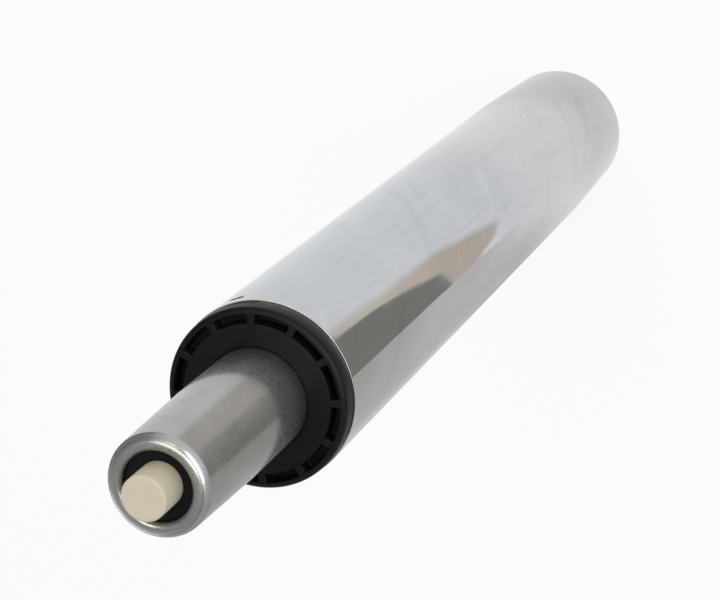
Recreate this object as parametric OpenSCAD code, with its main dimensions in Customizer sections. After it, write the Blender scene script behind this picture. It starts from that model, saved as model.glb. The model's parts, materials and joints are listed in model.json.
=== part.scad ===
// Chair gas lift cylinder, standing on its base taper with the release button up.
// The lift is shown compressed, as it stands on a bench.
// Origin: centre of the column's bottom rim. +Z runs up the axis to the button.
// All sizes are in millimetres.

/* [Column] */
// Outside diameter of the column's straight part
column_d = 50; // [48:0.5:54]
// Wall of the column tube
column_wall = 2; // [1.5:0.1:2.4]
// Length of the column tube
column_len = 314; // [290:1:360]
// Length of the taper that wedges into the chair's base
base_taper_len = 50; // [40:1:60]
// Narrowing of both tapers, on the radius, per millimetre of length
taper_slope = 0.025; // [0.02:0.001:0.03]
// Radius of the column's outer edge at the bottom
column_edge_r = 0.8; // [0.4:0.1:1.2]
// Reach of the rolled-in lip at the column's bottom
column_lip = 1.5; // [1:0.1:2.5]
// Bevel on the column's mouth
column_bevel = 0.2; // [0.1:0.1:0.8]
// Width of each lanced slot that locks the guide sleeve
slot_w = 4; // [3:0.5:6]
// Height of each lanced slot
slot_h = 1.8; // [1:0.1:2.4]
// Distance from the column's mouth down to the middle of the slots
slot_drop = 4.6; // [3.5:0.1:10]
// Direction of the first slot, counted from a rib of the sleeve
slot_angle = 48; // [35:1:55]
// Number of slots round the column
slot_count = 2; // [1:1:3]

/* [Guide sleeve] */
// Diameter of the sleeve's flange
flange_d = 49.4; // [48.8:0.1:50]
// Thickness of the flange
flange_t = 6; // [4:0.5:8]
// Radius of the flange's outer edge
flange_edge_r = 1.5; // [0.8:0.1:2]
// Length of the sleeve below its flange
sleeve_len = 89; // [70:1:110]
// Wall of the sleeve's inner hub
hub_wall = 2.4; // [2:0.1:3.5]
// Number of ribs, and of the pockets between them
rib_count = 12; // [8:1:16]
// Thickness of a rib
rib_t = 2; // [1.4:0.1:2.6]
// Radial width of a pocket in the flange's face
pocket_w = 2.5; // [1.8:0.1:3]
// Depth of a pocket
pocket_depth = 4.5; // [3:0.1:5.5]
// Wall between the pockets and the column's bore line
pocket_rim = 0.1; // [0:0.05:0.4]
// Height of each ring that centres the sleeve in the column
ring_h = 4; // [3:0.5:6]
// Height of the skirt that the flange carries down the column's bore
skirt_h = 12; // [8:0.5:16]
// Bevel at the mouth of the sleeve's bore
mouth_bevel = 0.5; // [0.2:0.1:1]

/* [Stroke] */
// Height that the seat rises from compressed to extended
stroke = 200; // [160:5:230]
// Wall of the sleeve that stops the piston at full height
stop_wall = 2.5; // [1.5:0.1:3.5]

/* [Pressure tube] */
// Outside diameter of the pressure tube
tube_d = 28; // [27:0.5:30]
// Wall of the pressure tube
tube_wall = 2; // [1.6:0.1:2.2]
// Height of the tube's crest above the flange's face, compressed
tube_reach = 63.7; // [55:0.1:80]
// Length of the taper that wedges into the seat's plate
seat_taper_len = 34; // [25:1:45]
// Radius of the rolled crest's outer side
crest_r = 2.7; // [2.2:0.1:3.4]
// Radius of the crest's inner side, at the opening
crest_inner_r = 1.5; // [0.8:0.1:1.7]
// Diameter of the opening in the crest
recess_d = 17.8; // [17:0.1:19]
// Thickness of the metal lip at the opening
crest_lip = 1.8; // [1.6:0.1:2.4]
// Radius of the fine groove round the crest
crest_groove_r = 0.15; // [0.1:0.01:0.3]
// Direction of that groove on the crest, up from level
crest_groove_angle = 60; // [35:1:70]
// Opening in the tube's rolled bottom end
tube_foot_d = 15; // [13:0.5:18]
// Outside diameter of the inner cylinder
cylinder_d = 22; // [21:0.1:22.6]
// Wall of the inner cylinder
cylinder_wall = 1; // [0.8:0.1:1.2]

/* [Release button and valve] */
// Diameter of the release button
button_d = 11.6; // [10:0.1:13]
// Height of the button above the crest
button_rise = 7.2; // [5:0.1:8]
// Radius of the button's top edge
button_edge_r = 0.8; // [0.4:0.1:2]
// Reach of the collar that keeps the button in
button_collar = 1.2; // [0.8:0.1:1.3]
// Thickness of that collar
button_collar_t = 2.2; // [1.6:0.1:3]
// Travel of the button
button_travel = 3; // [2:0.1:3.5]
// Depth of the recess round the button, from the crest
recess_depth = 2.5; // [2:0.1:4.5]
// Height of the black cap that holds the valve
cap_h = 4.9; // [4.5:0.1:8]
// Thickness of the cap's floor
cap_floor = 2.6; // [2:0.1:3]
// Length of the valve body
valve_len = 39; // [36:1:46]
// Length of the valve body's spigot in the inner cylinder
spigot_len = 9; // [7:0.5:10]
// Length of the waist that the gas flows round
waist_len = 6; // [5:0.5:7]
// Diameter of the valve pin
pin_d = 6; // [5:0.1:6.5]
// Diameter of the pin's necked part
pin_neck_d = 4.4; // [3.6:0.1:4.8]
// Diameter of the poppet at the pin's foot
poppet_d = 9.6; // [9:0.1:11]
// Thickness of the poppet
poppet_t = 3; // [2:0.1:4]
// Diameter of the gland round the pin
gland_d = 10; // [9.4:0.1:10.6]
// Diameter of each port in the valve body
port_d = 2.6; // [2:0.1:3]
// Number of ports
port_count = 4; // [2:1:6]
// Thickness of the rubber of the rings in the valve
ring_section = 2; // [1.6:0.1:2.2]

/* [Piston and rod] */
// Diameter of the piston rod
rod_d = 10; // [9:0.5:11]
// Diameter of the rod's foot, through the bearing
foot_d = 8; // [7:0.5:8.5]
// Diameter of the rod's top, through the piston
rod_top_d = 7; // [6:0.5:7.5]
// Length of the piston
piston_len = 14; // [11:1:18]
// Diameter of the seal's rubber section
piston_seal_section = 3; // [2.4:0.1:3.4]
// Thickness of the washer under the piston
piston_washer_t = 2; // [1.5:0.1:3]
// Thickness of the retainer over the piston
piston_retainer_t = 2.5; // [2:0.1:3.5]
// Height of the rod's riveted head
rivet_h = 1.5; // [1:0.1:2.2]
// Length of the rod guide
guide_len = 18; // [15:0.5:22]
// Length of the guide's spigot in the inner cylinder
guide_spigot = 6; // [4:0.5:8]
// Width of each gas notch in that spigot
notch_w = 3; // [2:0.1:4]
// Number of gas notches
notch_count = 4; // [3:1:6]
// Height of the rod seal
rod_seal_h = 7; // [5:0.5:9]
// Thickness of the washer that backs the rod seal
backing_t = 2; // [1.5:0.1:3]

/* [Base, bearing and bumper] */
// Thickness of the dished base plate
plate_t = 3; // [2.5:0.1:4]
// Rise of the dish, which hides the clip
dish_h = 10; // [9:0.5:13]
// Radius of the dish's flat top
dish_r = 13.5; // [12.5:0.1:15]
// Diameter of the bearing balls
ball_d = 4; // [3:0.1:4.5]
// Number of balls
ball_count = 10; // [8:1:11]
// Radius of the circle through the balls
ball_circle_r = 8.5; // [8:0.1:9]
// Outside radius of the bearing races
race_r = 12; // [11.5:0.1:12.5]
// Thickness of each race
race_t = 2.5; // [2:0.1:3]
// Depth of the track in each race
track_depth = 0.6; // [0.4:0.05:0.8]
// Thickness of the ball cage
cage_t = 1.8; // [1.2:0.1:2]
// Radial width of the ball cage
cage_w = 5.4; // [5:0.1:6]
// Height of the rubber bumper
bumper_h = 8; // [6:0.5:12]
// Depth of the groove round the bumper
bumper_waist = 1.4; // [0.8:0.1:2]
// Thickness of the washer on the bumper
bumper_washer_t = 1.5; // [1:0.1:2.5]
// Thickness of the washer under the base plate
clip_washer_t = 1.5; // [1:0.1:2]
// Outside radius of that washer
clip_washer_r = 9; // [8.5:0.1:10]
// Thickness of the retaining clip
clip_t = 1.2; // [1:0.1:1.6]
// Outside radius of the retaining clip
clip_r = 7.5; // [7:0.1:8]
// Depth of the clip's groove in the rod
clip_groove = 0.9; // [0.6:0.1:1.1]
// Length of the rod below its groove
foot_end = 2.4; // [1.8:0.1:3]

/* [Clearances] */
// Running clearance of the tube in its sleeve, on the radius
run_gap = 0.08; // [0.05:0.01:0.1]
// Running clearance of small sliding pieces, on the radius
slide_gap = 0.06; // [0.04:0.01:0.1]
// Clearance of a piece that is pressed or clipped in place
seat_gap = 0.03; // [0.02:0.01:0.06]
// Loose clearance of a washer or a plate round the rod
loose_gap = 0.25; // [0.2:0.05:0.4]
// Gap between the compressed tube and its bumper, and above the button's collar
rest_gap = 0.3; // [0.2:0.05:0.5]
// Clearance of a ball in its tracks
ball_gap = 0.05; // [0.03:0.01:0.1]

/* [Hidden] */
$fn = 96;
EPS = 0.01;

// Radii of the column
column_r = column_d / 2;
column_in_r = column_r - column_wall;
column_foot_r = column_r - base_taper_len * taper_slope;

// Levels of the base, the bearing and the bumper, from the bottom up
plate_z = column_wall;
plate_under_z = plate_z + dish_h;
plate_top_z = plate_under_z + plate_t;
lower_race_top_z = plate_top_z + race_t;
ball_z = lower_race_top_z - track_depth + ball_gap + ball_d / 2;
upper_race_z = ball_z + ball_d / 2 + ball_gap - track_depth;
bumper_z = upper_race_z + race_t;
bumper_washer_z = bumper_z + bumper_h;
tube_foot_z = bumper_washer_z + bumper_washer_t + rest_gap;
clip_washer_z = plate_under_z - clip_washer_t;
clip_z = clip_washer_z - clip_t - seat_gap;
rod_foot_z = clip_z - seat_gap - foot_end;
track_r = ball_d / 2 + ball_gap;

// Radii and levels of the pressure tube and of what closes its foot
tube_r = tube_d / 2;
tube_in_r = tube_r - tube_wall;
cylinder_r = cylinder_d / 2;
cylinder_in_r = cylinder_r - cylinder_wall;
backing_z = tube_foot_z + tube_wall;
rod_seal_z = backing_z + backing_t;
guide_z = rod_seal_z + rod_seal_h;
guide_top_z = guide_z + guide_len;
cylinder_foot_z = guide_top_z - guide_spigot;
rod_r = rod_d / 2;
foot_r = foot_d / 2;
rod_top_r = rod_top_d / 2;
groove_floor_r = foot_r - clip_groove;

// Levels of the face, the crest and the valve
face_z = column_len + flange_t;
crest_z = face_z + tube_reach;
taper_top_z = crest_z - crest_r;
taper_foot_z = taper_top_z - seat_taper_len;
tube_top_r = tube_r - seat_taper_len * taper_slope;
recess_floor_z = crest_z - recess_depth;
cap_top_z = crest_z - crest_lip;
cap_z = cap_top_z - cap_h;
cap_ceiling_z = recess_floor_z - cap_floor;
button_r = button_d / 2;
collar_r = button_r + button_collar;
button_z = cap_ceiling_z - rest_gap - button_collar_t;
well_r = collar_r + loose_gap;
well_z = button_z - button_travel - 1;
valve_z = cap_z - valve_len;
cylinder_top_z = valve_z + spigot_len;
waist_top_z = cylinder_top_z + waist_len;
pin_r = pin_d / 2;
gland_r = gland_d / 2;
gland_z = waist_top_z + 2;
waist_r = cylinder_in_r - ring_section / 4;
ring_r = ring_section / 2;

// Levels of the piston, which stops short of the open poppet
rivet_top_z = valve_z - poppet_t - button_travel - 1;
retainer_z = rivet_top_z - rivet_h - piston_retainer_t;
piston_z = retainer_z - piston_len;
piston_washer_z = piston_z - piston_washer_t;
piston_r = cylinder_in_r - slide_gap;
piston_groove_r = cylinder_in_r - piston_seal_section;

// Inner radius of the pressure tube at height z, through its taper
function tube_bore(z) = tube_in_r - taper_slope * max(0, min(z, taper_top_z) - taper_foot_z);

// Outer radius of the column at height z, through its taper
function column_at(z) = column_r - taper_slope * max(0, base_taper_len - z);

// Ring between two radii and two levels
module ring(inner, outer, z, h) {
    translate([0, 0, z])
        rotate_extrude()
            translate([inner, 0])
                square([outer - inner, h]);
}

// Bore from z up by h
module bore(r, z, h) {
    translate([0, 0, z])
        cylinder(r = r, h = h);
}

// Rubber ring of round section, centred on radius r at height z
module round_ring(r, section_r, z) {
    translate([0, 0, z])
        rotate_extrude()
            translate([r, 0])
                circle(r = section_r, $fn = 48);
}

// What rounding a corner of a section takes away. The arc's centre is [x, z], and the
// corner lies from it the way that side_x and side_z, each 1 or -1, point.
module corner_waste(x, z, r, side_x, side_z) {
    translate([x, z])
        scale([side_x, side_z])
            difference() {
                square(r + 1);
                circle(r = r, $fn = 64);
            }
}

// Section of the column: taper, rolled edge and lip at the foot, bevelled mouth
module column_section() {
    lip_x = column_foot_r - column_wall - column_lip;
    difference() {
        polygon([
            [column_foot_r, 0], [lip_x, 0], [lip_x, column_wall],
            [column_at(column_wall) - column_wall, column_wall],
            [column_in_r, base_taper_len], [column_in_r, column_len],
            [column_r - column_bevel, column_len], [column_r, column_len - column_bevel],
            [column_r, base_taper_len]
        ]);
        corner_waste(column_foot_r - column_edge_r, column_edge_r, column_edge_r, 1, -1);
    }
}

// Blocks at the slots, grown by a margin, between two radii
module slot_blocks(inner, outer, margin) {
    for (i = [0 : slot_count - 1])
        rotate([0, 0, slot_angle + i * 360 / slot_count])
            translate([inner, -slot_w / 2 - margin, column_len - slot_drop - slot_h / 2 - margin])
                cube([outer - inner, slot_w + 2 * margin, slot_h + 2 * margin]);
}

// Chromed column with the taper for the base and the lanced slots
module outer_column() {
    color("gainsboro")
        difference() {
            rotate_extrude()
                column_section();
            slot_blocks(column_in_r - 1, column_r + 1, 0);
        }
}

// Dished plate that closes the column and carries the bearing
module base_plate() {
    seat_low_r = column_at(plate_z) - column_wall - seat_gap;
    seat_high_r = column_at(plate_z + plate_t) - column_wall - seat_gap;
    wall_r = dish_r + plate_t;
    color("silver")
        difference() {
            rotate_extrude()
                polygon([
                    [0, plate_under_z], [dish_r - 1, plate_under_z], [wall_r - 1, plate_z],
                    [seat_low_r, plate_z], [seat_high_r, plate_z + plate_t],
                    [wall_r + 1.4, plate_z + plate_t], [dish_r + 1, plate_top_z], [0, plate_top_z]
                ]);
            bore(foot_r + loose_gap, plate_under_z - 1, plate_t + 2);
        }
}

// Section of the sleeve's turned form: hub, flange, skirt and centring rings
module sleeve_section() {
    hub_r = tube_r + run_gap;
    seat_r = column_in_r - seat_gap;
    flange_r = flange_d / 2;
    foot_z = column_len - sleeve_len;
    difference() {
        polygon([
            [hub_r, foot_z], [hub_r + hub_wall, foot_z], [hub_r + hub_wall, column_len],
            [flange_r, column_len], [flange_r, face_z], [hub_r + mouth_bevel, face_z],
            [hub_r, face_z - mouth_bevel]
        ]);
        corner_waste(flange_r - flange_edge_r, face_z - flange_edge_r, flange_edge_r, 1, 1);
    }
    for (z = [foot_z, foot_z + (sleeve_len - ring_h) / 2])
        translate([hub_r + hub_wall - EPS, z])
            square([seat_r - hub_r - hub_wall + EPS, ring_h]);
    translate([seat_r - hub_wall, column_len - skirt_h])
        square([hub_wall, skirt_h + EPS]);
}

// Pockets in the flange's face, one between each pair of ribs
module face_pockets() {
    outer = column_in_r - pocket_rim;
    inner = outer - pocket_w;
    rib_deg = 2 * asin(rib_t / 2 / ((outer + inner) / 2));
    for (i = [0 : rib_count - 1])
        rotate([0, 0, i * 360 / rib_count + rib_deg / 2])
            translate([0, 0, face_z - pocket_depth])
                rotate_extrude(angle = 360 / rib_count - rib_deg)
                    translate([inner, 0])
                        square([pocket_w, pocket_depth + 1]);
}

// Ribs that stand out from the hub to the column's bore, under the pockets' ribs
module sleeve_ribs() {
    root_r = tube_r + run_gap + hub_wall - 0.5;
    for (i = [0 : rib_count - 1])
        rotate([0, 0, i * 360 / rib_count])
            translate([root_r, -rib_t / 2, column_len - sleeve_len])
                cube([column_in_r - seat_gap - 0.4 - root_r, rib_t, sleeve_len + EPS]);
}

// Moulded guide sleeve: ribbed hub, pocketed flange and the tongues that snap into the slots
module guide_sleeve() {
    color("#1d1d1f")
        difference() {
            union() {
                rotate_extrude()
                    sleeve_section();
                sleeve_ribs();
                slot_blocks(column_in_r - 1, column_r - column_wall / 2, -0.1);
            }
            face_pockets();
        }
}

// Race with its track turned into one face; the track faces up when face is 1
module race(z, face, bore_r) {
    track_z = face > 0 ? z + race_t - track_depth + track_r : z + track_depth - track_r;
    color("silver")
        difference() {
            ring(bore_r, race_r, z, race_t);
            round_ring(ball_circle_r, track_r, track_z);
        }
}

module lower_bearing_race() {
    race(plate_top_z, 1, foot_r + loose_gap);
}

module upper_bearing_race() {
    race(upper_race_z, -1, foot_r + seat_gap);
}

// Puts a copy of its child at each ball
module at_balls() {
    for (i = [0 : ball_count - 1])
        rotate([0, 0, i * 360 / ball_count])
            translate([ball_circle_r, 0, ball_z])
                children();
}

module ball_cage() {
    color("goldenrod")
        difference() {
            ring(ball_circle_r - cage_w / 2, ball_circle_r + cage_w / 2, ball_z - cage_t / 2, cage_t);
            at_balls()
                cylinder(r = ball_d / 2 + ball_gap, h = cage_t + 1, center = true, $fn = 48);
        }
}

module bearing_balls() {
    color("white")
        at_balls()
            sphere(r = ball_d / 2, $fn = 48);
}

// Rubber stop with a groove round its middle
module rubber_bumper() {
    mid_z = bumper_z + bumper_h / 2;
    groove_r = bumper_h / 4;
    color("#2a2a2a")
        difference() {
            ring(rod_r + loose_gap, race_r, bumper_z, bumper_h);
            round_ring(race_r + groove_r - bumper_waist, groove_r, mid_z);
        }
}

module bumper_washer() {
    color("silver")
        ring(rod_r + loose_gap, race_r, bumper_washer_z, bumper_washer_t);
}

module clip_washer() {
    color("silver")
        ring(foot_r + loose_gap, clip_washer_r, clip_washer_z, clip_washer_t);
}

// Spring clip that snaps into the rod's groove from one side
module retaining_clip() {
    grip_r = groove_floor_r + seat_gap;
    color("dimgray")
        translate([0, 0, clip_z])
            linear_extrude(height = clip_t)
                difference() {
                    circle(r = clip_r);
                    circle(r = grip_r);
                    translate([0, -grip_r * 0.9])
                        square([clip_r + 1, grip_r * 1.8]);
                    for (side = [-1, 1])
                        translate([-grip_r * 0.7, side * grip_r * 1.25])
                            circle(r = grip_r * 0.35, $fn = 32);
                }
}

// Rod with its clip groove, its shoulder on the bearing and its riveted top
module piston_rod() {
    tip = 0.8;
    color("silver")
        rotate_extrude()
            polygon([
                [0, rod_foot_z], [foot_r - tip, rod_foot_z], [foot_r, rod_foot_z + tip],
                [foot_r, clip_z - seat_gap], [groove_floor_r, clip_z - seat_gap],
                [groove_floor_r, clip_washer_z], [foot_r, clip_washer_z],
                [foot_r, bumper_z], [rod_r, bumper_z],
                [rod_r, piston_washer_z], [rod_top_r, piston_washer_z],
                [rod_top_r, rivet_top_z - rivet_h], [rod_r, rivet_top_z - rivet_h],
                [rod_r - rivet_h / 2, rivet_top_z], [0, rivet_top_z]
            ]);
}

module piston_washer() {
    color("silver")
        ring(rod_top_r + seat_gap, piston_r - 0.4, piston_washer_z, piston_washer_t);
}

// Piston with the groove of its seal
module piston() {
    color("darkgoldenrod")
        difference() {
            ring(rod_top_r + seat_gap, piston_r, piston_z, piston_len);
            ring(piston_groove_r, cylinder_r, piston_z + piston_len / 2 - piston_seal_section * 0.6,
                 piston_seal_section * 1.2);
        }
}

module piston_seal() {
    section_r = (piston_seal_section - slide_gap - seat_gap) / 2;
    color("#222222")
        round_ring(piston_groove_r + seat_gap + section_r, section_r, piston_z + piston_len / 2);
}

module piston_retainer() {
    color("silver")
        ring(rod_top_r + seat_gap, piston_r - 1.6, retainer_z, piston_retainer_t);
}

// Section of the pressure tube: rolled foot, taper, and the crest round its opening
module tube_section() {
    lip_r = recess_d / 2;
    bend_r = tube_wall;
    difference() {
        polygon([
            [tube_foot_d / 2, tube_foot_z], [tube_r, tube_foot_z],
            [tube_r, taper_foot_z], [tube_top_r, taper_top_z], [tube_top_r, crest_z],
            [lip_r, crest_z], [lip_r, cap_top_z],
            [tube_bore(cap_top_z), cap_top_z], [tube_bore(taper_foot_z), taper_foot_z],
            [tube_in_r, tube_foot_z + tube_wall], [tube_foot_d / 2, tube_foot_z + tube_wall]
        ]);
        corner_waste(tube_r - bend_r, tube_foot_z + bend_r, bend_r, 1, -1);
        corner_waste(tube_top_r - crest_r, taper_top_z, crest_r, 1, 1);
        corner_waste(lip_r + crest_inner_r, crest_z - crest_inner_r, crest_inner_r, -1, 1);
    }
}

// Pressure tube with the fine groove that the rolling leaves on its crest
module pressure_tube() {
    groove_x = tube_top_r - crest_r + crest_r * cos(crest_groove_angle);
    color("darkgray")
        difference() {
            rotate_extrude()
                tube_section();
            round_ring(groove_x, crest_groove_r, taper_top_z + crest_r * sin(crest_groove_angle));
        }
}

// Thin cylinder that the piston runs in; gas flows between it and the pressure tube
module inner_cylinder() {
    color("lightsteelblue")
        ring(cylinder_in_r, cylinder_r, cylinder_foot_z, cylinder_top_z - cylinder_foot_z);
}

module seal_washer() {
    color("silver")
        ring(rod_r + loose_gap, tube_in_r - seat_gap, backing_z, backing_t);
}

// Rod seal with the channel that lets gas press its lips apart
module rod_seal() {
    mid_r = (rod_r + tube_in_r) / 2;
    color("#222222")
        difference() {
            ring(rod_r + slide_gap, tube_in_r - seat_gap, rod_seal_z, rod_seal_h);
            ring(mid_r - 1, mid_r + 1, rod_seal_z + rod_seal_h / 2, rod_seal_h);
        }
}

// Rod guide with the spigot that carries the inner cylinder and the notches for the gas
module rod_guide() {
    color("ivory")
        difference() {
            union() {
                ring(rod_r + slide_gap, tube_in_r - seat_gap, guide_z, guide_len - guide_spigot);
                ring(rod_r + slide_gap, cylinder_in_r - seat_gap, guide_z, guide_len);
            }
            for (i = [0 : notch_count - 1])
                rotate([0, 0, i * 360 / notch_count])
                    translate([cylinder_in_r - 2, -notch_w / 2, cylinder_foot_z - 2])
                        cube([tube_in_r, notch_w, guide_spigot + 3]);
        }
}

// Sleeve round the rod that the piston meets when the lift is fully up
module stop_sleeve() {
    inner = rod_r + loose_gap;
    color("ivory")
        ring(inner, inner + stop_wall, guide_top_z, piston_washer_z - stroke - rest_gap - guide_top_z);
}

// Section of the valve body: spigot, waist for the gas, tapered head
module valve_section() {
    head_foot_r = tube_bore(waist_top_z) - seat_gap;
    head_bend_z = max(taper_foot_z, waist_top_z);
    polygon([
        [0, valve_z], [cylinder_in_r - seat_gap, valve_z],
        [cylinder_in_r - seat_gap, cylinder_top_z], [cylinder_r, cylinder_top_z],
        [cylinder_r, cylinder_top_z + 1], [waist_r, cylinder_top_z + 1], [waist_r, waist_top_z],
        [head_foot_r, waist_top_z], [tube_bore(head_bend_z) - seat_gap, head_bend_z + EPS],
        [tube_bore(cap_z) - seat_gap, cap_z], [0, cap_z]
    ]);
}

// Heights of the rubber rings in the valve body's head
function head_ring_levels() = [waist_top_z + 1.6 * ring_section, waist_top_z + 4.4 * ring_section];

// Height of the rubber ring on the valve body's spigot
function spigot_ring_level() = valve_z + spigot_len / 2;

// Turned valve body with its ports, its gland, its well and the grooves of its rings
module valve_body() {
    groove_h = ring_section * 1.15;
    color("goldenrod")
        difference() {
            rotate_extrude()
                valve_section();
            bore(pin_r + slide_gap + 0.6, valve_z - 1, gland_z - valve_z + 2);
            bore(gland_r, gland_z, well_z - gland_z + 1);
            bore(well_r, well_z, cap_z - well_z + 1);
            for (i = [0 : port_count - 1])
                rotate([0, 0, i * 360 / port_count])
                    translate([0, 0, waist_top_z - waist_len / 2 + 0.5])
                        rotate([0, 90, 0])
                            cylinder(d = port_d, h = tube_r, $fn = 48);
            for (z = head_ring_levels())
                ring(tube_bore(z) - ring_section, tube_r, z - groove_h / 2, groove_h);
            ring(cylinder_in_r - ring_section, tube_r, spigot_ring_level() - groove_h / 2, groove_h);
        }
}

module valve_body_rings() {
    section_r = ring_r - 2 * seat_gap;
    color("#222222") {
        for (z = head_ring_levels())
            round_ring(tube_bore(z) - ring_r, section_r, z);
        round_ring(cylinder_in_r - ring_r, section_r, spigot_ring_level());
    }
}

// Height of the pin's lower and upper seal rings in the gland
gland_ring_r = (gland_r - pin_r - slide_gap - seat_gap) / 2;
lower_gland_ring_z = gland_z + gland_ring_r + seat_gap;
gland_mid_z = (gland_z + well_z) / 2;
upper_gland_ring_z = gland_mid_z + 2 + gland_ring_r + seat_gap;

module pin_seal_rings() {
    color("#222222")
        for (z = [lower_gland_ring_z, upper_gland_ring_z])
            round_ring(pin_r + slide_gap + gland_ring_r, gland_ring_r, z);
}

// Spacer between the pin's two seal rings
module gland_spacer() {
    z = lower_gland_ring_z + gland_ring_r + seat_gap;
    color("ivory")
        ring(pin_r + slide_gap, gland_r - seat_gap, z, gland_mid_z + 2 - z);
}

// Bush that closes the gland and guides the pin
module gland_bush() {
    z = upper_gland_ring_z + gland_ring_r + seat_gap;
    color("ivory")
        ring(pin_r + slide_gap, gland_r - seat_gap, z, well_z - z);
}

// Black cap under the crest: the recess round the button above, its collar's stop below
module valve_cap() {
    outer_top = tube_bore(cap_top_z) - seat_gap;
    outer_foot = tube_bore(cap_z) - seat_gap;
    color("#1d1d1f")
        difference() {
            rotate_extrude()
                polygon([[0, cap_z], [outer_foot, cap_z], [outer_top, cap_top_z], [0, cap_top_z]]);
            bore(recess_d / 2, recess_floor_z, recess_depth);
            bore(button_r + slide_gap, cap_z - 1, cap_h + 2);
            bore(well_r, cap_z - 1, cap_ceiling_z - cap_z + 1);
        }
}

// Valve pin: guided shank, neck that the gas flows past, and the poppet at its foot
module valve_pin() {
    neck_r = pin_neck_d / 2;
    poppet_r = poppet_d / 2;
    poppet_top_z = valve_z - seat_gap;
    color("silver")
        rotate_extrude()
            polygon([
                [0, poppet_top_z - poppet_t], [poppet_r - 1, poppet_top_z - poppet_t],
                [poppet_r, poppet_top_z - poppet_t + 1], [poppet_r, poppet_top_z],
                [neck_r, poppet_top_z], [neck_r, waist_top_z], [pin_r, gland_z - 0.5],
                [pin_r, button_z], [0, button_z]
            ]);
}

// Release button with its rounded top edge and the collar that keeps it in
module release_button() {
    top_z = crest_z + button_rise;
    color("antiquewhite")
        rotate_extrude()
            difference() {
                polygon([
                    [0, button_z], [collar_r, button_z], [collar_r, button_z + button_collar_t],
                    [button_r, button_z + button_collar_t], [button_r, top_z], [0, top_z]
                ]);
                corner_waste(button_r - button_edge_r, top_z - button_edge_r, button_edge_r, 1, 1);
            }
}

outer_column();
base_plate();
guide_sleeve();
lower_bearing_race();
ball_cage();
bearing_balls();
upper_bearing_race();
rubber_bumper();
bumper_washer();
clip_washer();
retaining_clip();
piston_rod();
piston_washer();
piston();
piston_seal();
piston_retainer();
pressure_tube();
inner_cylinder();
seal_washer();
rod_seal();
rod_guide();
stop_sleeve();
valve_body();
valve_body_rings();
pin_seal_rings();
gland_spacer();
gland_bush();
valve_cap();
valve_pin();
release_button();
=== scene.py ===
"""Looks of a chair gas lift cylinder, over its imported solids.

The lift stands on its foot with +Z up its axis. The outer pieces, which are the column, the guide
sleeve, the pressure tube, the valve's cap and the release button, are worked out here as fine
surfaces on the solids' own sizes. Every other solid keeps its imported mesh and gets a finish.
"""

import json
import logging
import math
from dataclasses import dataclass
from enum import Enum
from functools import reduce
from typing import Any, Mapping, Sequence

import bpy
import numpy as np
from mathutils import Matrix, Quaternion, Vector


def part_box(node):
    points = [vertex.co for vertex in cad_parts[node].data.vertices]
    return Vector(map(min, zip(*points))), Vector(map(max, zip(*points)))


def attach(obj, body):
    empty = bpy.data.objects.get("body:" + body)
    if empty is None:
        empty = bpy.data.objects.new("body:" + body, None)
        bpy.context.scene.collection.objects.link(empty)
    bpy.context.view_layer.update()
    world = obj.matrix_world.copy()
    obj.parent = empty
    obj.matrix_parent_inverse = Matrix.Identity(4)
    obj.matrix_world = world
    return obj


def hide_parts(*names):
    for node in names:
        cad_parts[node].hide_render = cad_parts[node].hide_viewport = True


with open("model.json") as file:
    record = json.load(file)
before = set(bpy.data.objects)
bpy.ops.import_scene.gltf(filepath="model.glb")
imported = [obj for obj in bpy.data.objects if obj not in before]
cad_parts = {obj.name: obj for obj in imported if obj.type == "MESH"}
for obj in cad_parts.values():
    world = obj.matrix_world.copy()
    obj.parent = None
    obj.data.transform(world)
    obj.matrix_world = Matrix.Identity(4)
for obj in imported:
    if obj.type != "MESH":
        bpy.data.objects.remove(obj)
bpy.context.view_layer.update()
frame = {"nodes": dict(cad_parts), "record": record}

LOG = logging.getLogger("gas_lift")
MM = 0.001
FULL_TURN = 2 * math.pi
CREASE = 32.0

Colour = tuple[float, float, float]
Line = tuple[tuple[float, float], ...]
Bands = tuple[tuple[float, float, Colour], ...]


class Lay(Enum):
    """Direction of a metal's fine tool marks, as stretches of its noise along X, Y and Z."""

    TURNED = (40.0, 40.0, 2600.0)
    DRAWN = (1700.0, 1700.0, 24.0)
    BLASTED = (1500.0, 1500.0, 1500.0)


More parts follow.
